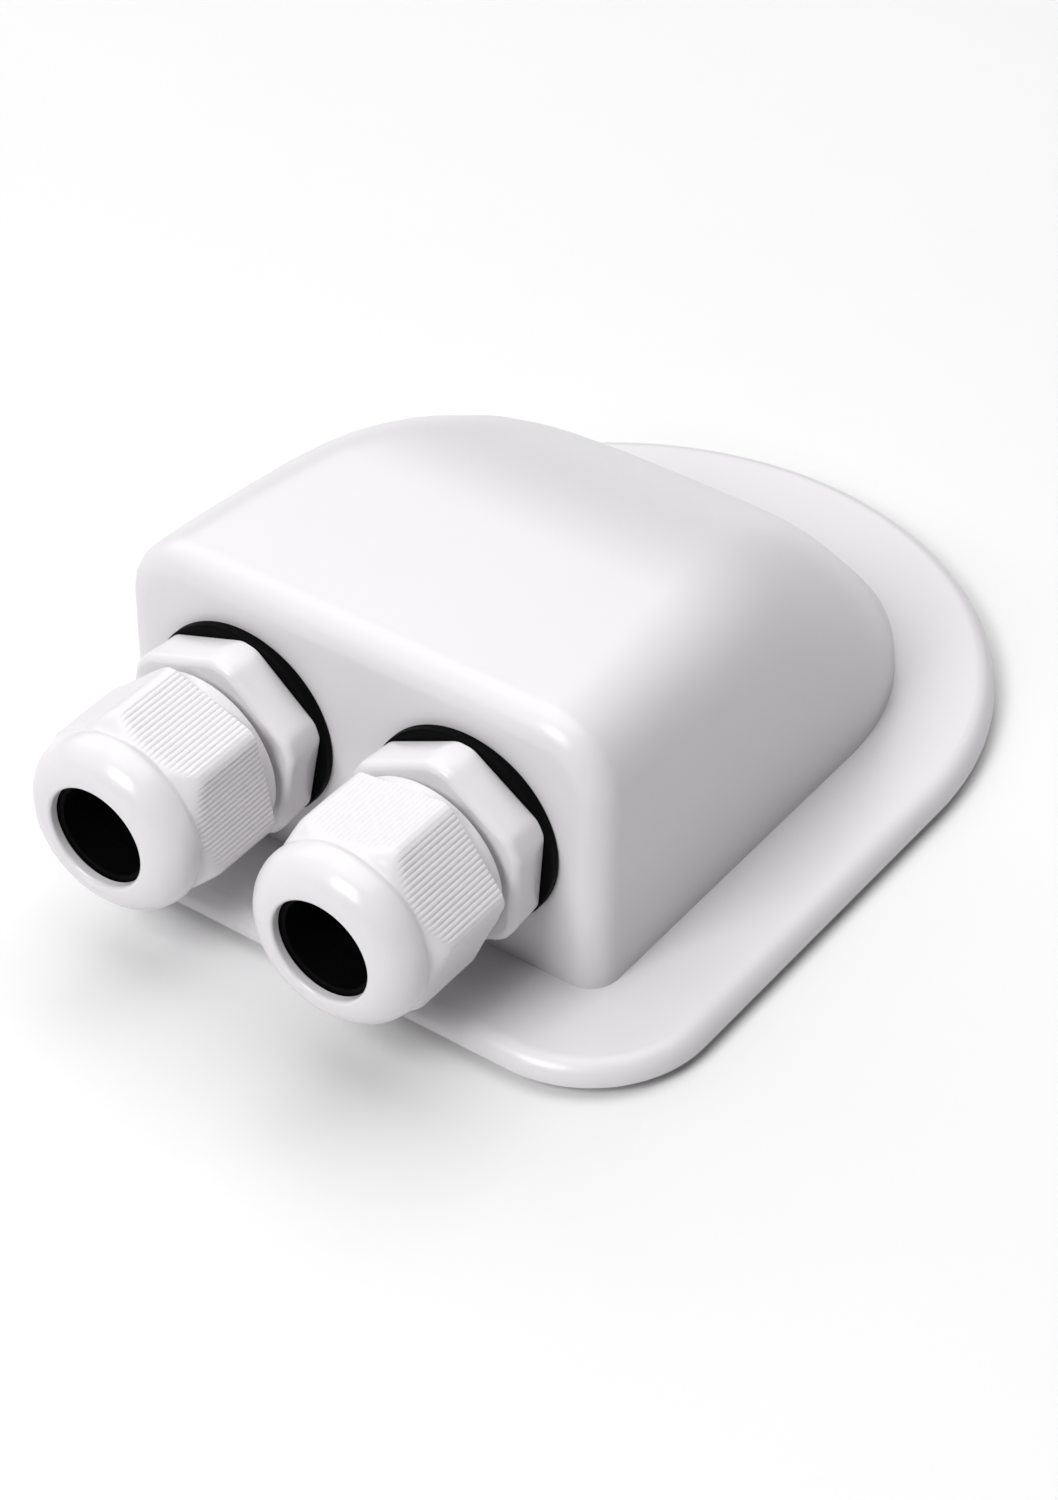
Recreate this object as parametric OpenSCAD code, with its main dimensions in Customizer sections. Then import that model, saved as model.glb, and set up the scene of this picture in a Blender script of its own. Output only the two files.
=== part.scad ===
// Twin cable entry box for a roof: a moulded hood on a bonding flange, with two
// cable glands through its front wall. Millimetres. The bonding face is z = 0,
// the outer face of the front wall is y = 0, and the glands point along -Y.

/* [Flange] */
// Thickness of the bonding flange
flange_t = 3; // [2:0.1:6]
// Radius of the flange's rounded upper edge
flange_edge_r = 2.6; // [0.5:0.1:2.9]
// Width of the flange in front of the hood
flange_front = 14; // [8:0.5:24]
// Width of the flange beside and behind the hood
flange_side = 13.5; // [8:0.5:24]
// Radius of the flange's two front corners
flange_corner_r = 17; // [6:0.5:20]

/* [Hood] */
// Wall thickness of the sides and roof
wall = 2.5; // [1.5:0.1:3.5]
// Thickness of the front wall, which carries the glands
front_wall = 3; // [2:0.1:5]
// Distance from the front wall to the centre of the rounded back
straight_len = 57; // [48:0.5:80]
// Room between a lock nut's flat and the side wall
nut_side_room = 3.5; // [1.5:0.1:12]
// Height of a lock nut's lowest corner above the bonding face
nut_floor = 5.9; // [4.5:0.1:14]
// Room between a lock nut's upper corner and the roof
nut_roof_room = 2; // [1:0.1:10]
// Slope of the roof at the front, in degrees
roof_pitch = 2.6; // [0:0.1:5]
// Distance from the front wall at which the roof begins to curve down
roof_bend_start = 30; // [20:0.5:40]
// Length of the straight run-out at the roof's back end
roof_tail = 13.5; // [8:0.5:20]
// Height of the roof's back end above the flange
roof_end = 0.4; // [0.3:0.1:2]
// Radius of the edge around the front wall
front_edge_r = 4; // [3:0.1:6]
// Radius of the roof's side edges at the front
roof_edge_front_r = 10; // [7:0.1:14]
// Radius of the roof's side edges where the back begins
roof_edge_side_r = 18.6; // [12:0.1:22]
// Radius of the roof's edge at the back
roof_edge_back_r = 16.5; // [12:0.1:20]

/* [Glands] */
// Gap between the corners of the two collars
gland_gap = 6.3; // [2:0.1:20]
// Outside diameter of the thread through the front wall
panel_thread_d = 20; // [18:0.1:24]
// Length of the panel thread inside the front wall
panel_thread_len = 8; // [7:0.1:16]
// Width of the collar's flats outside the panel thread
collar_shoulder = 2; // [1.5:0.1:4]
// Length of the hexagonal collar
collar_len = 6.7; // [4:0.1:10]
// Turn of the left collar about its axis, in degrees
left_collar_turn = 20; // [0:1:59]
// Turn of the right collar about its axis, in degrees
right_collar_turn = 26; // [0:1:59]
// Thickness of the rubber gasket
gasket_t = 1.5; // [0.8:0.1:3]
// Width of the gasket that shows around the collar's turned corners
gasket_lip = 0.3; // [0.1:0.1:3]
// Thickness of the lock nut
nut_t = 5; // [3:0.1:7]
// Thickness of the lock nut's wall across its flats
nut_wall = 3.3; // [2:0.1:5]

/* [Seal and fingers] */
// Bore of the rubber sleeve that grips the cable
cable_bore_d = 12.2; // [9:0.1:14]
// Wall of the rubber sleeve
seal_wall = 1.35; // [0.8:0.05:2]
// Length of the rubber sleeve
seal_len = 13; // [9:0.1:15]
// Thickness of the clamping fingers at their tips
finger_t = 0.9; // [0.7:0.05:1.5]
// Length of the clamping fingers
finger_len = 7; // [4:0.1:9]
// Number of clamping fingers
finger_count = 12; // [6:1:16]
// Width of the slots between the fingers
finger_slot = 0.8; // [0.4:0.1:1.2]
// Length of the thread that carries the cap nut
cap_thread_len = 7.3; // [5:0.1:12]

/* [Cap nut] */
// Gap between the collar and the cap nut
cap_gap = 1.7; // [0.5:0.1:4]
// Wall of the cap nut outside its thread, across the flats
cap_wall = 1.85; // [1.5:0.05:4]
// Length of the round skirt at the cap nut's back
cap_skirt_len = 1.5; // [1:0.1:4]
// Length of the hexagonal grip
cap_grip_len = 12; // [8:0.1:18]
// Length over which the grip's corners are turned away at the front
cap_turned_len = 2.4; // [1:0.1:5]
// Number of fine ribs on each flat of the grip
cap_ribs = 20; // [8:1:24]
// Depth of the grooves between the ribs
cap_rib_depth = 0.2; // [0.1:0.05:0.4]
// Length of the dome in front of the grip
cap_dome_len = 5.8; // [5:0.1:9]
// Radius of the dome's rounded front
cap_dome_r = 4.7; // [3:0.1:5]
// Width of the dome's lip over the rubber sleeve
mouth_lip = 0.5; // [0.3:0.05:1]
// Thickness of the dome's lip in front of the rubber sleeve
mouth_t = 1.3; // [0.8:0.1:3]
// Turn of the left cap nut about its axis, in degrees
left_cap_turn = 41; // [0:1:59]
// Turn of the right cap nut about its axis, in degrees
right_cap_turn = 7; // [0:1:59]

/* [Hidden] */
$fn = 64;

// Clearance of pieces that slide or turn on each other
slide_gap = 0.25;
// Clearance of the panel thread in the wall, the gasket and the lock nut
thread_gap = 0.2;
// Overlap that makes cuts clean and joins solid
over = 1;
// Clearance of the cable through the gland body
cable_gap = 0.5;
// Taper of the fingers, and their step down from the cap thread
finger_taper = 0.8;
finger_step = 0.5;
// Step of the cap thread below the panel thread
thread_step = 0.1;
// Steps of the cap nut's skirt and dome above its flats, and of its core below the ribs
skirt_step = 0.9;
dome_step = 0.2;
core_step = 0.1;
// Length of the neck between the grip and the dome
neck_len = 0.3;
// Depth to which the collar's corners are turned, and their front chamfer
collar_turned = 0.65;
collar_chamfer = 0.8;
// Small chamfers of the panel thread, lock nut, fingers and mouth
thread_chamfer = 1;
nut_chamfer = 1;
finger_chamfer = 0.5;
mouth_chamfer = 0.5;
// Length of the step between the cap nut's thread and its inner cone
cone_step = 0.5;
cone_step_r = 0.2;
cone_gap = 0.1;
// Smallest inner radius of the hood's front edge
inner_edge_r = 1;
// Straight wall kept below the roof's edge, and the least rise of that edge
edge_foot = 0.3;
edge_least = 0.1;

// Radii of the gland, from the cable outwards
panel_r = panel_thread_d / 2;
seal_r = cable_bore_d / 2;
seal_out_r = seal_r + seal_wall;
body_bore_r = seal_r + cable_gap;
finger_in_r = seal_out_r + slide_gap;
finger_tip_r = finger_in_r + finger_t;
finger_root_r = finger_tip_r + finger_taper;
cap_thread_r = max(finger_root_r + finger_step, panel_r - thread_step);
cap_bore_r = cap_thread_r + slide_gap;
cap_apothem = cap_bore_r + cap_wall;
cap_skirt_r = cap_apothem + skirt_step;
cap_core_r = cap_apothem - cap_rib_depth - core_step;
dome_r = cap_apothem + dome_step;
mouth_r = seal_out_r - mouth_lip;
wall_hole_r = panel_r + thread_gap + thread_step;
collar_apothem = max(panel_r, cap_thread_r) + collar_shoulder;
collar_corner_r = collar_apothem / cos(30);
collar_turned_r = collar_corner_r - collar_turned;
gasket_r = collar_turned_r + gasket_lip;
nut_apothem = panel_r + thread_gap + nut_wall;
nut_corner_r = nut_apothem / cos(30);

// Stations along the gland's axis, outwards from the front wall
collar_back = gasket_t;
collar_front = collar_back + collar_len;
cap_back = collar_front + cap_gap;
grip_back = cap_back + cap_skirt_len;
grip_front = grip_back + cap_grip_len;
cap_front = grip_front + cap_dome_len;
cap_thread_front = cap_back + cap_thread_len;
finger_front = cap_thread_front + finger_len;
cap_seat = cap_front - mouth_t;
seal_front = cap_seat - slide_gap;
seal_back = seal_front - seal_len;
cone_back = cap_thread_front + slide_gap;
cone_back_r = cap_bore_r - cone_step_r;
cone_front_r = finger_tip_r + cone_gap;

// Places of the glands and the size of the hood around them
gland_spacing = 2 * max(collar_corner_r, cap_apothem / cos(30), nut_apothem) + gland_gap;
gland_x = gland_spacing / 2;
gland_z = nut_floor + nut_corner_r;
hood_half = gland_x + nut_apothem + nut_side_room + wall;
roof_front = gland_z + nut_corner_r + nut_roof_room + wall;
hood_back = straight_len + hood_half;
roof_slope = tan(roof_pitch);
roof_tail_start = hood_back - roof_tail;
roof_bow = roof_tail_start - roof_bend_start;
roof_fall = roof_front - roof_slope * hood_back - flange_t - roof_end;
roof_bend = roof_fall / (roof_bow * (roof_bow + 2 * roof_tail));
flange_half = hood_half + flange_side;

// Steps of the hood's loft: front edge, sides, back, edge round and roof
front_steps = 6;
side_steps = 12;
back_steps = 18;
edge_steps = 10;
roof_steps = 4;
// How late along the sides the roof's edge radius grows
edge_growth = 1.55;
// Depth to which the hood is sunk into the flange
hood_root = 0.5;

// Height of the roof above the bonding face: straight, then bowed, then a straight run-out
function roof_line(y) =
    let (bowed = min(max(0, y - roof_bend_start), roof_bow),
         run_out = max(0, y - roof_tail_start))
    roof_front - roof_slope * y - roof_bend * bowed * (bowed + 2 * run_out);

// Stations of one side, from the front wall to the middle of the back. Each has its place
// on the spine, its bearing, the radius of the roof's edge and the inset of the front edge
function side_stations(front_y, edge_r) = concat(
    [for (i = [0 : front_steps]) let (a = 90 * i / front_steps)
        [front_y + edge_r * (1 - cos(a)), 0, roof_edge_front_r, edge_r * (1 - sin(a))]],
    [for (i = [1 : side_steps]) let (t = i / side_steps, start = front_y + edge_r)
        [start + (straight_len - start) * t, 0,
         roof_edge_front_r + (roof_edge_side_r - roof_edge_front_r) * pow(t, edge_growth), 0]],
    [for (i = [1 : back_steps]) let (t = i / back_steps)
        [straight_len, 90 * t,
         roof_edge_side_r + (roof_edge_back_r - roof_edge_side_r) * t * t * (3 - 2 * t), 0]]);

// A point of the surface at a distance from the spine and a turn of the roof's edge
function loft_point(st, reach, turn, edge_r, inset, floor_z, side) =
    let (y = st[0] + reach * sin(st[1]),
         top = roof_line(y) - inset - st[3],
         rise = min(edge_r, max(top - floor_z - edge_foot, edge_least)))
    [side * reach * cos(st[1]), y, top - rise * (1 - sin(turn))];

// The points of one station, from its foot up the wall and in to the spine
function loft_section(st, half, inset, foot_z, floor_z, side) =
    let (reach = half - inset - st[3],
         edge_r = max(st[2] - inset - st[3], edge_foot),
         inner = reach - edge_r)
    concat(
        [[side * reach * cos(st[1]), st[0] + reach * sin(st[1]), foot_z]],
        [for (i = [0 : edge_steps]) let (a = 90 * i / edge_steps)
            loft_point(st, reach - edge_r * (1 - cos(a)), a, edge_r, inset, floor_z, side)],
        [for (i = [1 : roof_steps])
            loft_point(st, inner * (1 - i / (roof_steps + 1)), 90, edge_r, inset, floor_z, side)]);

// A domed D-shaped solid: both sides' stations in turn, then the spine's own points
module loft(half, inset, front_y, edge_r, foot_z, floor_z) {
    one_side = side_stations(front_y, edge_r);
    n = len(one_side);
    spine_n = front_steps + side_steps + 1;
    rows = edge_steps + roof_steps + 2;
    count = 2 * n - 1;
    points = concat(
        [for (i = [0 : n - 1], p = loft_section(one_side[i], half, inset, foot_z, floor_z, 1)) p],
        [for (i = [n - 2 : -1 : 0], p = loft_section(one_side[i], half, inset, foot_z, floor_z, -1)) p],
        [for (i = [0 : spine_n - 1]) let (st = one_side[i])
            [0, st[0], roof_line(st[0]) - inset - st[3]]]);
    function at(m, k) = m * rows + k;
    function spine(m) = count * rows + min(m < n ? m : 2 * n - 2 - m, spine_n - 1);
    faces = concat(
        [for (m = [0 : count - 2], k = [0 : rows - 2]) [at(m, k), at(m, k + 1), at(m + 1, k + 1)]],
        [for (m = [0 : count - 2], k = [0 : rows - 2]) [at(m, k), at(m + 1, k + 1), at(m + 1, k)]],
        [for (m = [0 : count - 2]) [at(m, rows - 1), spine(m), at(m + 1, rows - 1)]],
        [for (m = [0 : count - 2]) if (spine(m) != spine(m + 1))
            [spine(m), spine(m + 1), at(m + 1, rows - 1)]],
        [[for (m = [0 : count - 1]) at(m, 0)]],
        [concat([for (k = [0 : rows - 1]) at(count - 1, k)], [spine(0)],
                [for (k = [rows - 1 : -1 : 0]) at(0, k)])]);
    polyhedron(points, faces);
}

// Half of the flange's section: flat below, with its upper edge rounded
module flange_section(reach) {
    square([reach - flange_edge_r, flange_t]);
    square([reach, flange_t - flange_edge_r]);
    translate([reach - flange_edge_r, flange_t - flange_edge_r])
        intersection() {
            circle(flange_edge_r);
            square(flange_edge_r);
        }
}

// The D-shaped flange: round back, straight middle, front strip and two front corners
module flange() {
    corner_x = flange_half - flange_corner_r;
    corner_y = flange_corner_r - flange_front;
    translate([0, straight_len, 0])
        rotate_extrude(angle = 180)
            flange_section(flange_half);
    translate([0, straight_len, 0])
        rotate([90, 0, 0])
            linear_extrude(straight_len - corner_y)
                for (side = [0, 1])
                    mirror([side, 0])
                        flange_section(flange_half);
    translate([corner_x, corner_y, 0])
        rotate([90, 0, -90])
            linear_extrude(2 * corner_x)
                flange_section(flange_corner_r);
    for (side = [-1, 1])
        translate([side * corner_x, corner_y, 0])
            rotate([0, 0, side > 0 ? -90 : 180])
                rotate_extrude(angle = 90)
                    flange_section(flange_corner_r);
}

// Moves a gland piece to its hole, with its axis pointing out of the front wall
module at_gland(side, turn) {
    translate([side * gland_x, 0, gland_z])
        rotate([90, 0, 0])
            rotate([0, 0, turn])
                children();
}

// A hexagonal prism by its apothem, between two stations of the axis
module hex(apothem, from, to) {
    translate([0, 0, from])
        cylinder(r = apothem / cos(30), h = to - from, $fn = 6);
}

// A round bar between two stations of the axis
module bar(radius, from, to) {
    translate([0, 0, from])
        cylinder(r = radius, h = to - from);
}

// Solid of the hood and flange, hollowed from below and drilled for the glands
module housing() {
    color("white")
    difference() {
        union() {
            flange();
            loft(hood_half, 0, 0, front_edge_r, hood_root, flange_t);
        }
        loft(hood_half, wall, front_wall, max(front_edge_r - wall, inner_edge_r), -over, 0);
        for (side = [-1, 1])
            at_gland(side, 0)
                bar(wall_hole_r, -front_wall - over, over);
    }
}

// Flat rubber ring between the collar and the front wall
module gasket(side) {
    color("black")
    at_gland(side, 0)
        difference() {
            bar(gasket_r, 0, gasket_t);
            bar(panel_r + thread_gap, -over, gasket_t + over);
        }
}

// Gland body: panel thread, hexagonal collar, cap thread and slotted clamping fingers
module gland_body(side, turn) {
    thread_end = -front_wall - panel_thread_len;
    color("white")
    at_gland(side, turn)
        difference() {
            union() {
                intersection() {
                    hex(collar_apothem, collar_back, collar_front);
                    rotate_extrude()
                        polygon([[0, collar_back], [collar_turned_r, collar_back],
                                 [collar_turned_r, collar_front - collar_chamfer],
                                 [collar_turned_r - collar_chamfer, collar_front], [0, collar_front]]);
                }
                rotate_extrude()
                    polygon([[0, thread_end], [panel_r - thread_chamfer, thread_end],
                             [panel_r, thread_end + thread_chamfer],
                             [panel_r, collar_back + thread_step],
                             [cap_thread_r, collar_back + thread_step],
                             [cap_thread_r, cap_thread_front - finger_chamfer],
                             [finger_root_r, cap_thread_front],
                             [finger_tip_r, finger_front], [0, finger_front]]);
            }
            bar(body_bore_r, thread_end - over, finger_front);
            bar(finger_in_r, seal_back, finger_front + over);
            for (i = [0 : finger_count - 1])
                rotate(360 * i / finger_count)
                    translate([seal_r, -finger_slot / 2, cap_thread_front + finger_chamfer])
                        cube([cap_thread_r, finger_slot, finger_len + over]);
        }
}

// Hexagonal nut that clamps the gland body from inside the hood
module lock_nut(side) {
    color("white")
    at_gland(side, 30)
        difference() {
            intersection() {
                hex(nut_apothem, -front_wall - nut_t, -front_wall);
                rotate_extrude()
                    polygon([[0, -front_wall - nut_t], [nut_apothem, -front_wall - nut_t],
                             [nut_corner_r, -front_wall - nut_t + nut_chamfer],
                             [nut_corner_r, -front_wall], [0, -front_wall]]);
            }
            bar(panel_r + thread_gap, -front_wall - nut_t - over, -front_wall + over);
        }
}

// Rubber sleeve inside the fingers, which grips the cable
module seal_sleeve(side) {
    color("black")
    at_gland(side, 0)
        difference() {
            bar(seal_out_r, seal_back, seal_front);
            bar(seal_r, seal_back - over, seal_front + over);
        }
}

// Outline of the grip: a hexagon whose flats alternate between rib crests and grooves
function grip_outline() =
    [for (flat = [0 : 5], i = [0 : 2 * cap_ribs - 1])
        let (half = cap_apothem * tan(30),
             across = half * (i / cap_ribs - 1),
             out = cap_apothem - (i % 2) * cap_rib_depth,
             turn = 30 + 60 * flat)
        [out * cos(turn) - across * sin(turn), out * sin(turn) + across * cos(turn)]];

// Outline of the dome: a short straight band, then a full round to the mouth
module dome_section() {
    round_z = cap_front - cap_dome_r;
    translate([0, grip_front])
        square([cap_core_r, round_z - grip_front]);
    translate([0, grip_front + neck_len])
        square([dome_r, round_z - grip_front - neck_len]);
    translate([0, round_z])
        square([dome_r - cap_dome_r, cap_dome_r]);
    translate([dome_r - cap_dome_r, round_z])
        intersection() {
            circle(cap_dome_r);
            square(cap_dome_r);
        }
}

// Cap nut: round skirt, hexagonal grip turned away at the front, and a domed mouth
module cap_nut(side, turn) {
    corner_r = cap_apothem / cos(30) + dome_step;
    color("white")
    at_gland(side, turn)
        difference() {
            union() {
                bar(cap_skirt_r, cap_back, grip_back);
                bar(cap_core_r, cap_back, grip_front);
                intersection() {
                    translate([0, 0, grip_back])
                        linear_extrude(cap_grip_len)
                            polygon(grip_outline());
                    rotate_extrude()
                        polygon([[0, grip_back], [corner_r, grip_back],
                                 [corner_r, grip_front - cap_turned_len],
                                 [cap_core_r, grip_front], [0, grip_front]]);
                }
                rotate_extrude()
                    dome_section();
            }
            rotate_extrude()
                polygon([[0, cap_back - over], [cap_bore_r, cap_back - over], [cap_bore_r, cone_back],
                         [cone_back_r, cone_back + cone_step], [cone_front_r, cap_seat],
                         [mouth_r, cap_seat], [mouth_r, cap_front - mouth_chamfer],
                         [mouth_r + mouth_chamfer, cap_front], [mouth_r + mouth_chamfer, cap_front + over],
                         [0, cap_front + over]]);
        }
}

module left_gasket() gasket(-1);
module right_gasket() gasket(1);
module left_gland_body() gland_body(-1, left_collar_turn);
module right_gland_body() gland_body(1, right_collar_turn);
module left_lock_nut() lock_nut(-1);
module right_lock_nut() lock_nut(1);
module left_seal_sleeve() seal_sleeve(-1);
module right_seal_sleeve() seal_sleeve(1);
module left_cap_nut() cap_nut(-1, left_cap_turn);
module right_cap_nut() cap_nut(1, right_cap_turn);

housing();
left_gasket();
right_gasket();
left_gland_body();
right_gland_body();
left_lock_nut();
right_lock_nut();
left_seal_sleeve();
right_seal_sleeve();
left_cap_nut();
right_cap_nut();
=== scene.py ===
import math

import bpy
from mathutils import Matrix, Vector


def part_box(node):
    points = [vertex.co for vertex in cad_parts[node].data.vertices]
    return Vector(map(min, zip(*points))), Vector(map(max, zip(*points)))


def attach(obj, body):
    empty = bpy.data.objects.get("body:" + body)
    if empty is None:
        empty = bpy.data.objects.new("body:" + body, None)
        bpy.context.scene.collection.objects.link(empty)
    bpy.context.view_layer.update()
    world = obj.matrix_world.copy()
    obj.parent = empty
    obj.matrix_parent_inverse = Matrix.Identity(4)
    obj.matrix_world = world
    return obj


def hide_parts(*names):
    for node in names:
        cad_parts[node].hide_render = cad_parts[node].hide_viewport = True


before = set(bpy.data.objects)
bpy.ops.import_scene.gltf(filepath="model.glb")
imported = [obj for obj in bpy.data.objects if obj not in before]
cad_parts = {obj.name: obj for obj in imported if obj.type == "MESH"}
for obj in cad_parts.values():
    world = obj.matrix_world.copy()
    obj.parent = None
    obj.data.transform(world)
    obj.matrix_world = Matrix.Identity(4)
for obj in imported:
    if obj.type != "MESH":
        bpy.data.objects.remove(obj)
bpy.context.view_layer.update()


# Housing: one injection moulding in white ABS, with its domed hood, thick front wall and
# D-shaped bonding flange. It is a merged copy of the CAD solid, which has the rounded edges
# already, with its flats and rounds shaded as one skin.
MM = 0.001
same_point = 0.002 * MM
same_plane = math.radians(0.3)


def pick(piece):
    bpy.ops.object.select_all(action="DESELECT")
    piece.select_set(True)
    bpy.context.view_layer.objects.active = piece


def copy_of(solid, name):
    pick(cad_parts[solid])
    bpy.ops.object.duplicate()
    piece = bpy.context.object
    piece.name = name
    for key in [k for k in piece.keys() if k.startswith("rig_")]:
        del piece[key]
    bpy.ops.object.mode_set(mode="EDIT")
    bpy.ops.mesh.select_all(action="SELECT")
    bpy.ops.mesh.remove_doubles(threshold=same_point)
    bpy.ops.mesh.dissolve_limited(angle_limit=same_plane)
    bpy.ops.object.mode_set(mode="OBJECT")
    return piece


def shade(piece, angle):
    pick(piece)
    bpy.ops.object.shade_smooth_by_angle(angle=math.radians(angle))
    weight = piece.modifiers.new("weight", "WEIGHTED_NORMAL")
    weight.mode = "FACE_AREA"
    weight.weight = 60
    weight.keep_sharp = True
    bpy.ops.object.modifier_apply(modifier=weight.name)


def node(tree, kind, **sockets):
    made = tree.nodes.new(kind)
    for name, value in sockets.items():
        made.inputs[name.replace("_", " ")].default_value = value
    return made


# A colour mix has these sockets, which share their names with others of the node.
FACTOR, COLOUR_A, COLOUR_B, COLOUR_MIXED = 0, 6, 7, 2


def moulded(name, colour, tint, roughness, grain, bump):
    finish = bpy.data.materials.new(name)
    finish.use_nodes = True
    tree = finish.node_tree
    shader = tree.nodes["Principled BSDF"]
    place = tree.nodes.new("ShaderNodeTexCoord")
    cloud = node(tree, "ShaderNodeTexNoise", Scale=40.0, Detail=3.0, Roughness=0.6)
    fine = node(tree, "ShaderNodeTexNoise", Scale=grain, Detail=3.0, Roughness=0.5)
    mix = tree.nodes.new("ShaderNodeMix")
    mix.data_type = "RGBA"
    mix.inputs[COLOUR_A].default_value = (*colour, 1)
    mix.inputs[COLOUR_B].default_value = (*tint, 1)
    rough = node(tree, "ShaderNodeMapRange", From_Min=0.3, From_Max=0.7,
                 To_Min=roughness[0], To_Max=roughness[1])
    relief = node(tree, "ShaderNodeBump", Strength=bump, Distance=0.1 * MM)
    for texture in (cloud, fine):
        tree.links.new(place.outputs["Object"], texture.inputs["Vector"])
    tree.links.new(cloud.outputs["Fac"], mix.inputs[FACTOR])
    tree.links.new(mix.outputs[COLOUR_MIXED], shader.inputs["Base Color"])
    tree.links.new(fine.outputs["Fac"], rough.inputs["Value"])
    tree.links.new(rough.outputs["Result"], shader.inputs["Roughness"])
    tree.links.new(fine.outputs["Fac"], relief.inputs["Height"])
    tree.links.new(relief.outputs["Normal"], shader.inputs["Normal"])
    return finish, shader


def dress(piece, finish, body, slot, *nodes):
    piece.data.materials.clear()
    piece.data.materials.append(finish)
    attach(piece, body)
    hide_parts(*nodes)


abs_white, shader = moulded("abs_white", (0.725, 0.709, 0.726), (0.71, 0.694, 0.711),
                            roughness=(0.29, 0.36), grain=1200.0, bump=0.008)
shader.inputs["IOR"].default_value = 1.5

housing = copy_of("housing", "housing_shell")
shade(housing, 28)
dress(housing, abs_white, "box", "shell_white", "housing")


# Gaskets: flat rings of black rubber, punched and then squeezed between each gland's collar
# and the front wall, so that their rims swell a little. Spun from a section about the axis,
# whose points are a radius and a distance out from the wall, in millimetres.
def gland_axis(side):
    low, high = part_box(side + "_seal_sleeve")
    return (low.x + high.x) / 2, (low.z + high.z) / 2


def start_point(name, place):
    bpy.ops.object.select_all(action="DESELECT")
    bpy.ops.mesh.primitive_plane_add(size=MM)
    piece = bpy.context.object
    piece.name = name
    bpy.ops.object.mode_set(mode="EDIT")
    bpy.ops.mesh.select_all(action="SELECT")
    bpy.ops.mesh.merge(type="CENTER")
    bpy.ops.transform.translate(value=place)
    return piece


def draw_line(steps):
    for step in steps:
        bpy.ops.mesh.extrude_region_move(TRANSFORM_OT_translate={"value": step})
    bpy.ops.mesh.select_all(action="SELECT")


def spun(name, section, steps, side):
    x, z = gland_axis(side)
    r, a = section[0]
    piece = start_point(name, (x + r * MM, -a * MM, z))
    draw_line([((r1 - r0) * MM, -(a1 - a0) * MM, 0)
               for (r0, a0), (r1, a1) in zip(section, section[1:])])
    bpy.ops.mesh.spin(steps=steps, angle=2 * math.pi, center=(x, 0, z), axis=(0, -1, 0))
    bpy.ops.mesh.select_all(action="SELECT")
    bpy.ops.mesh.remove_doubles(threshold=same_point)
    bpy.ops.mesh.normals_make_consistent(inside=False)
    bpy.ops.object.mode_set(mode="OBJECT")
    return piece


def rounding(r, a, radius, start, end, steps):
    turns = [math.radians(start + (end - start) * i / steps) for i in range(steps + 1)]
    return [(r + radius * math.cos(t), a + radius * math.sin(t)) for t in turns]


rubber, shader = moulded("black_rubber", (0.0015, 0.0015, 0.0018), (0.003, 0.003, 0.0034),
                         roughness=(0.5, 0.65), grain=1600.0, bump=0.05)
shader.inputs["Specular IOR Level"].default_value = 0.04

gasket_bore, gasket_flat, gasket_thick, swell = 10.2, 13.2, 1.5, 0.3

for side in ("left", "right"):
    section = ([(gasket_bore, 0.0), (gasket_flat, 0.0)]
               + rounding(gasket_flat, swell, swell, -80, 0, 4)
               + rounding(gasket_flat, gasket_thick - swell, swell, 0, 80, 4)
               + [(gasket_flat, gasket_thick), (gasket_bore, gasket_thick), (gasket_bore, 0.0)])
    gasket = spun(side + "_gasket_ring", section, 128, side)
    shade(gasket, 35)
    dress(gasket, rubber, "box", "rubber_black", side + "_gasket")


# Gland bodies: white nylon mouldings with a hexagonal collar, a panel thread behind it, and a
# cap thread with slotted fingers in front. Copies of the CAD solids thinned to the threads'
# root, with a helix wound on each thread and a soft-edged collar spun and drawn out to a hexagon.
def reach(piece, side):
    x, z = gland_axis(side)
    return [(math.hypot(p.co.x - x, p.co.z - z) / MM, -p.co.y / MM) for p in piece.data.vertices]


def thin(piece, side, crest, root, start, end):
    x, z = gland_axis(side)
    for point, (radius, out) in zip(piece.data.vertices, reach(piece, side)):
        if abs(radius - crest) < 0.02 and start < out < end:
            point.co.x = x + (point.co.x - x) * root / radius
            point.co.z = z + (point.co.z - z) * root / radius


widest_stem = 10.5


def without_collar(piece, side):
    pick(piece)
    bpy.ops.object.mode_set(mode="EDIT")
    bpy.ops.mesh.select_mode(type="VERT")
    bpy.ops.mesh.select_all(action="DESELECT")
    bpy.ops.object.mode_set(mode="OBJECT")
    for point, (radius, _) in zip(piece.data.vertices, reach(piece, side)):
        point.select = radius > widest_stem
    bpy.ops.object.mode_set(mode="EDIT")
    bpy.ops.mesh.delete(type="VERT")
    bpy.ops.mesh.select_all(action="DESELECT")
    bpy.ops.mesh.select_non_manifold()
    bpy.ops.mesh.bridge_edge_loops()
    bpy.ops.mesh.select_all(action="SELECT")
    bpy.ops.mesh.normals_make_consistent(inside=False)
    bpy.ops.object.mode_set(mode="OBJECT")


# The smaller of two sizes, with a soft change from one to the other.
def blended(a, b, width):
    share = min(max(0.5 + 0.5 * (b - a) / width, 0.0), 1.0)
    return b + (a - b) * share - width * share * (1 - share)


# Rings spun at this radius are drawn out to an outline afterwards.
DRAWN = 12.5
HALF_FLAT = 30


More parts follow.
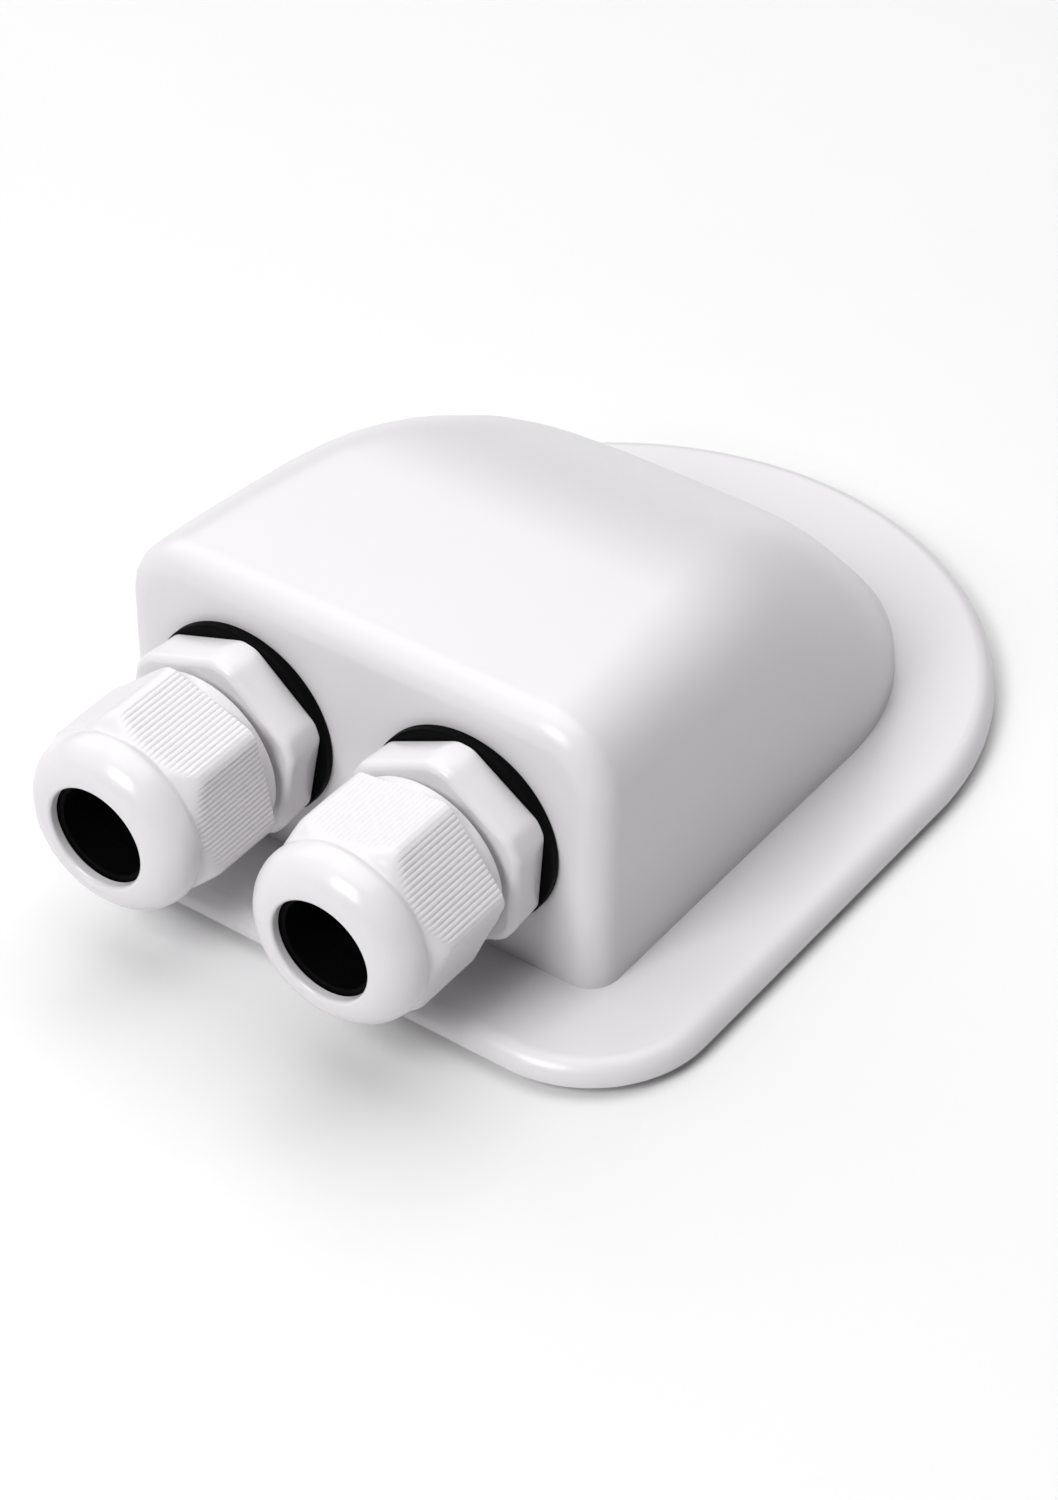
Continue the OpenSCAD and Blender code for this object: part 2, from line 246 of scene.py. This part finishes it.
def draw_out(piece, side, corner_turn, steps, outline):
    x, z = gland_axis(side)
    turn = math.radians(corner_turn + HALF_FLAT)
    for point in piece.data.vertices:
        across, up = point.co.x - x, point.co.z - z
        if abs(math.hypot(across, up) / MM - DRAWN) < 0.01:
            turned = (math.atan2(up, across) - turn) / (2 * math.pi)
            column = round(turned * steps + steps / 12) % steps
            radius, angle = outline(column, -point.co.y / MM)
            point.co.x = x + radius * MM * math.cos(angle + turn)
            point.co.z = z + radius * MM * math.sin(angle + turn)


FLAT_STEPS = 40
collar_back, collar_front, collar_bore = 1.5, 7.6, 9.0
collar_flat, flare, flare_length = 12.0, 0.5, 4.0
collar_corner, corner_draft = 13.25, 0.07
front_round, back_round = 1.1, 0.25


def collar_outline(column, a):
    flared = min((a - collar_back) / flare_length, 1.0)
    flat = collar_flat + flare * math.sin(math.radians(90 * flared))
    place = (column % FLAT_STEPS) / FLAT_STEPS - 0.5
    along = place * 2 * flat * math.tan(math.radians(HALF_FLAT))
    corner_r = collar_corner + corner_draft * (a - collar_back)
    radius = blended(math.hypot(along, flat), corner_r, 0.3)
    front = max(a - collar_front + front_round, 0) / front_round
    back = max(collar_back + back_round - a, 0) / back_round
    radius -= front_round * (1 - math.sqrt(max(1 - front * front, 0)))
    radius -= back_round * (1 - math.sqrt(max(1 - back * back, 0)))
    return radius, math.radians(60 * (column // FLAT_STEPS)) + math.atan2(along, flat)


def collar(side, corner_turn):
    quarter = [math.sin(math.radians(90 * i / 8)) for i in range(9)]
    rings = ([collar_back + back_round * (1 - q) for q in reversed(quarter)]
             + [2.0 + 0.5 * i for i in range(9)]
             + [collar_front - front_round * (1 - q) for q in quarter])
    section = ([(collar_bore, collar_back)] + [(DRAWN, a) for a in rings]
               + [(collar_bore, collar_front), (collar_bore, collar_back)])
    piece = spun(side + "_collar", section, 6 * FLAT_STEPS, side)
    draw_out(piece, side, corner_turn, 6 * FLAT_STEPS, collar_outline)
    return piece


panel_crest, cap_crest, thread_root, pitch = 10.0, 9.9, 9.15, 1.5
ridge_foot = thread_root - 0.1
ridge_flank, ridge_top = 0.38 * pitch, 0.14 * pitch
steps_a_turn = 72


def thread(name, side, crest, start, turns):
    x, z = gland_axis(side)
    rise = crest - ridge_foot
    ridge = start_point(name, (ridge_foot * MM, 0, 0))
    draw_line([(rise * MM, 0, ridge_flank * MM), (0, 0, ridge_top * MM),
               (-rise * MM, 0, ridge_flank * MM)])
    bpy.ops.mesh.edge_face_add()
    bpy.ops.mesh.delete(type="ONLY_FACE")
    bpy.ops.object.mode_set(mode="OBJECT")
    wind = ridge.modifiers.new("wind", "SCREW")
    wind.axis = "Z"
    wind.screw_offset = pitch * MM
    wind.iterations = turns
    wind.steps = wind.render_steps = steps_a_turn
    bpy.ops.object.modifier_apply(modifier=wind.name)
    bpy.ops.object.mode_set(mode="EDIT")
    bpy.ops.mesh.select_all(action="SELECT")
    bpy.ops.mesh.remove_doubles(threshold=same_point)
    bpy.ops.mesh.fill_holes(sides=6)
    bpy.ops.mesh.select_all(action="SELECT")
    bpy.ops.mesh.normals_make_consistent(inside=False)
    bpy.ops.object.mode_set(mode="OBJECT")
    lay_down = Matrix.Rotation(math.radians(90), 4, "X")
    ridge.data.transform(Matrix.Translation((x, -start * MM, z)) @ lay_down)
    return ridge


def join(piece, *added):
    pick(piece)
    for other in added:
        other.select_set(True)
    bpy.ops.object.join()


nylon_white, shader = moulded("nylon_white", (0.735, 0.719, 0.735), (0.72, 0.704, 0.721),
                              roughness=(0.2, 0.26), grain=1200.0, bump=0.008)
shader.inputs["Subsurface Weight"].default_value = 0.12
shader.inputs["Subsurface Radius"].default_value = (0.8 * MM, 0.8 * MM, 0.8 * MM)
shader.inputs["Subsurface Scale"].default_value = 1.0

for side, corner_turn in (("left", 20), ("right", 26)):
    body = copy_of(side + "_gland_body", side + "_gland")
    thin(body, side, panel_crest, thread_root, start=-30.0, end=1.55)
    thin(body, side, cap_crest, thread_root, start=8.15, end=16.8)
    without_collar(body, side)
    panel_thread = thread("panel_thread", side, panel_crest, start=-10.7, turns=7)
    cap_thread = thread("cap_thread", side, cap_crest, start=8.25, turns=5)
    join(body, collar(side, corner_turn), panel_thread, cap_thread)
    shade(body, 32)
    dress(body, nylon_white, "box", "nylon_white", side + "_gland_body")


# Lock nuts: flat hexagonal nuts in white nylon, run up the panel threads from inside the hood
# to clamp the glands. Merged copies of the CAD solids with softened edges.
def soften(piece, width, angle):
    pick(piece)
    edge = piece.modifiers.new("edge", "BEVEL")
    edge.width = width
    edge.segments = 2
    edge.limit_method = "ANGLE"
    edge.angle_limit = math.radians(angle)
    bpy.ops.object.modifier_apply(modifier=edge.name)


for side in ("left", "right"):
    nut = copy_of(side + "_lock_nut", side + "_locking_nut")
    soften(nut, 0.3 * MM, 20)
    shade(nut, 32)
    dress(nut, nylon_white, "box", "nylon_white", side + "_lock_nut")


# Seal sleeves: black rubber tubes inside the fingers, which the cap nut squeezes on to the
# cable. Spun, with a rounded front lip and shallow sealing ridges in the bore.
sleeve_bore, ridge_bore, sleeve_r = 6.2, 6.11, 7.45
sleeve_back, sleeve_front, sleeve_chamfer, lip = 14.65, 27.65, 0.15, 0.3
front_ridge, ridge_spacing, ridge_step = 23.4, 2.2, 0.4
lip_back = sleeve_front - lip

for side in ("left", "right"):
    ridges = []
    for i in range(4):
        top = front_ridge - ridge_spacing * i
        ridges += [(sleeve_bore, top), (ridge_bore, top - ridge_step),
                   (ridge_bore, top - 2 * ridge_step), (sleeve_bore, top - 3 * ridge_step)]
    section = ([(sleeve_bore, sleeve_back), (sleeve_r - sleeve_chamfer, sleeve_back),
                (sleeve_r, sleeve_back + sleeve_chamfer), (sleeve_r, lip_back)]
               + rounding(sleeve_r - lip, lip_back, lip, 10, 90, 5)
               + [(sleeve_bore + lip, sleeve_front)]
               + rounding(sleeve_bore + lip, lip_back, lip, 100, 170, 4)
               + ridges + [(sleeve_bore, sleeve_back)])
    sleeve = spun(side + "_sleeve", section, 96, side)
    shade(sleeve, 40)
    dress(sleeve, rubber, side + "_seal", "rubber_black", side + "_seal_sleeve")


# Cap nuts: white nylon, with a round skirt, a hexagonal grip of fine lengthwise ribs whose
# corners run out softly in front, and a polished dome with a round mouth. Spun from a
# section, then the grip's rings are drawn out to the ribbed hexagon.
RIBS = 20
SAMPLES = 4
RIB_STEPS = RIBS * SAMPLES
RIB_SHAPE = (0.0, 0.8, 1.0, 0.8)
RIB_DEPTH = 0.1
grip_back, grip_front, grip_flat, grip_corner = 10.75, 23.4, 12.0, 13.45
grip_edge = 0.12
neck, run_slope, run_soft = 11.8, 0.43, 0.6
mouth_mid, mouth_round, dome_round, dome_back = 7.45, 0.5, 4.7, 24.5
dome_r, dome_front = mouth_mid + dome_round, dome_back + dome_round
skirt_back, skirt_r, skirt_round, skirt_draft = 8.8, 11.7, 0.35, 0.05
mouth_back, seat_r, cone_r, cone_back = 27.9, 8.7, 9.95, 17.95
cap_bore, bore_front, bore_chamfer = 10.15, 17.45, 0.25


def run_out(a):
    ahead = grip_front - a
    return neck + run_slope * (ahead + math.hypot(ahead, run_soft))


def ribbed(column, a):
    place = (column % RIB_STEPS) / RIB_STEPS - 0.5
    along = place * 2 * grip_flat * math.tan(math.radians(HALF_FLAT))
    clear = (run_out(a) - math.hypot(along, grip_flat)) / run_soft
    fade = min(max(clear + 0.6, 0.0), 1.0)
    out = grip_flat - RIB_DEPTH * (1 - RIB_SHAPE[column % SAMPLES]) * fade
    facet = math.radians(60 * (column // RIB_STEPS))
    grip = blended(blended(math.hypot(along, out), grip_corner, 0.3), run_out(a), 1.0)
    if a < grip_back + 0.1:
        grip -= grip_edge
    dome = dome_r - 0.3 * (dome_back - a) ** 2
    return -blended(-grip, -dome, 0.2), facet + math.atan2(along, out)


for side, corner_turn in (("left", 41), ("right", 7)):
    rings = ([grip_back, grip_back + 0.13, 14.0, 17.0, 19.5]
             + [20.0 + 0.1 * i for i in range(45)])
    section = ([(cap_bore + bore_chamfer, skirt_back)]
               + rounding(skirt_r - skirt_round, skirt_back + skirt_round, skirt_round, -90, -5, 6)
               + [(skirt_r + skirt_draft, grip_back - 0.02)]
               + [(DRAWN, a) for a in rings]
               + rounding(mouth_mid, dome_back, dome_round, 0, 90, 26)
               + rounding(mouth_mid, dome_front - mouth_round, mouth_round, 100, 180, 5)
               + [(mouth_mid - mouth_round, mouth_back), (seat_r, mouth_back),
                  (cone_r, cone_back), (cap_bore, bore_front),
                  (cap_bore, skirt_back + bore_chamfer), (cap_bore + bore_chamfer, skirt_back)])
    cap = spun(side + "_cap", section, 6 * RIB_STEPS, side)
    draw_out(cap, side, corner_turn, 6 * RIB_STEPS, ribbed)
    shade(cap, 30)
    dress(cap, nylon_white, side + "_cap", "nylon_white", side + "_cap_nut")


# Studio: a plain white floor that runs back out of view, just under the flange so that its edge
# throws a shadow line, with wide soft lights overhead, behind and on the left, and a smaller one
# in front.
floor_drop = 1.8 * MM
bpy.ops.object.select_all(action="DESELECT")
bpy.ops.mesh.primitive_plane_add(size=6.0, location=(0, 0, -floor_drop))
floor = bpy.context.object
floor.name = "floor"
paper, shader = moulded("white_paper", (0.81, 0.806, 0.81), (0.8, 0.796, 0.8),
                        roughness=(0.75, 0.85), grain=300.0, bump=0.0)
shader.inputs["Specular IOR Level"].default_value = 0.1
floor.data.materials.append(paper)

lit_point, lamp_distance = Vector((0, 0.03, 0.02)), 1.25


def towards(turn, height):
    level = math.cos(height)
    return Vector((math.sin(turn) * level, -math.cos(turn) * level, math.sin(height)))


def softbox(name, turn, height, size, power):
    aside = towards(math.radians(turn), math.radians(height))
    light = bpy.data.lights.new(name, "AREA")
    light.shape = "RECTANGLE"
    light.size, light.size_y = size
    light.energy = power
    lamp = bpy.data.objects.new(name, light)
    bpy.context.scene.collection.objects.link(lamp)
    lamp.location = lit_point + lamp_distance * aside
    lamp.rotation_euler = (-aside).to_track_quat("-Z", "Y").to_euler()


softbox("front", -4, 42, (0.5, 0.5), 10.8)
softbox("overhead", 180, 86, (1.2, 1.2), 10.0)
softbox("back", 180, 60, (1.4, 1.0), 3.0)
softbox("left", 242, 42, (1.3, 1.0), 5.6)
world = bpy.data.worlds.new("studio")
world.use_nodes = True
world.node_tree.nodes["Background"].inputs["Color"].default_value = (1, 1, 1, 1)
world.node_tree.nodes["Background"].inputs["Strength"].default_value = 0.01
bpy.context.scene.world = world
bpy.context.scene.view_settings.view_transform = "Standard"


# Camera: where the photograph was taken from, by a fit of the housing's and glands' corners and
# curves to it. It looks at a point low in the hood, from the front right and above.
azimuth, elevation, roll = math.radians(35.663), math.radians(39.623), math.radians(0.307)
distance, aim = 0.533226, Vector((2.388, 32.828, 3.312)) * MM
focal_pixels, picture_height, sensor = 4115.511, 1500, 36.0
back = towards(azimuth, elevation)
level_right = Vector((math.cos(azimuth), math.sin(azimuth), 0))
level_up = back.cross(level_right)
right = level_right * math.cos(roll) + level_up * math.sin(roll)
up = level_up * math.cos(roll) - level_right * math.sin(roll)
lens = bpy.data.cameras.new("camera")
lens.sensor_fit = "AUTO"
lens.sensor_width = sensor
lens.lens = sensor * focal_pixels / picture_height
lens.clip_start = 0.01
camera = bpy.data.objects.new("camera", lens)
bpy.context.scene.collection.objects.link(camera)
facing = Matrix((right, up, back)).transposed().to_4x4()
camera.matrix_world = Matrix.Translation(aim + back * distance) @ facing
bpy.context.scene.camera = camera
